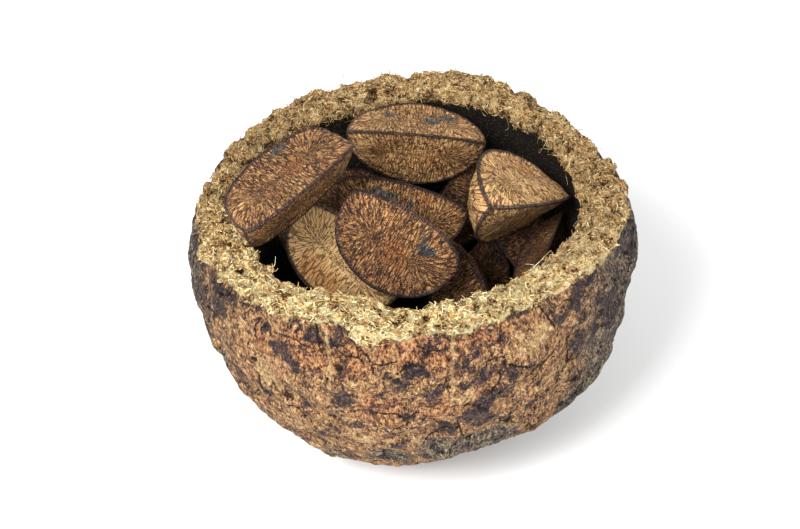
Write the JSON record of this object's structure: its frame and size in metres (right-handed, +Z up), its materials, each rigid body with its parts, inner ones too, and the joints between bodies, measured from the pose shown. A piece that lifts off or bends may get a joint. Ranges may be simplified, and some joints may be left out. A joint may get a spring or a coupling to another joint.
{
  "type": "brazil nut pod",
  "caption": "Broken open round woody seed capsule lying like a bowl on its rounded bottom, full of three-sided nuts in their shells.",
  "frame": {"origin": "centre of the small flat spot under the pod, on the surface it rests on", "axes": "+Z up out of the broken opening, -Y towards the usual view, +X to that view's right"},
  "size_m": [0.1261, 0.1254, 0.0957],
  "materials": {
    "pod_husk": "rough woody husk, orange-brown with dark patches outside, straw-coloured torn fibre on the broken edge, dark lining",
    "nut_shell": "finely wrinkled red-brown nut shell with dark raised ridges"
  },
  "bodies": {
    "root": {"pod_shell": "pod_husk", "nut_floor_1": "nut_shell", "nut_floor_2": "nut_shell", "nut_floor_3": "nut_shell", "nut_floor_4": "nut_shell", "nut_hidden_right": "nut_shell", "nut_hidden_back": "nut_shell", "nut_hidden_left": "nut_shell", "nut_deep_right": "nut_shell", "nut_front_low": "nut_shell", "nut_back_low": "nut_shell", "nut_front_left": "nut_shell", "nut_front_right": "nut_shell", "nut_right_wall": "nut_shell", "nut_behind": "nut_shell", "nut_front": "nut_shell", "nut_back": "nut_shell", "nut_right": "nut_shell", "nut_left": "nut_shell"}
  },
  "joints": []
}
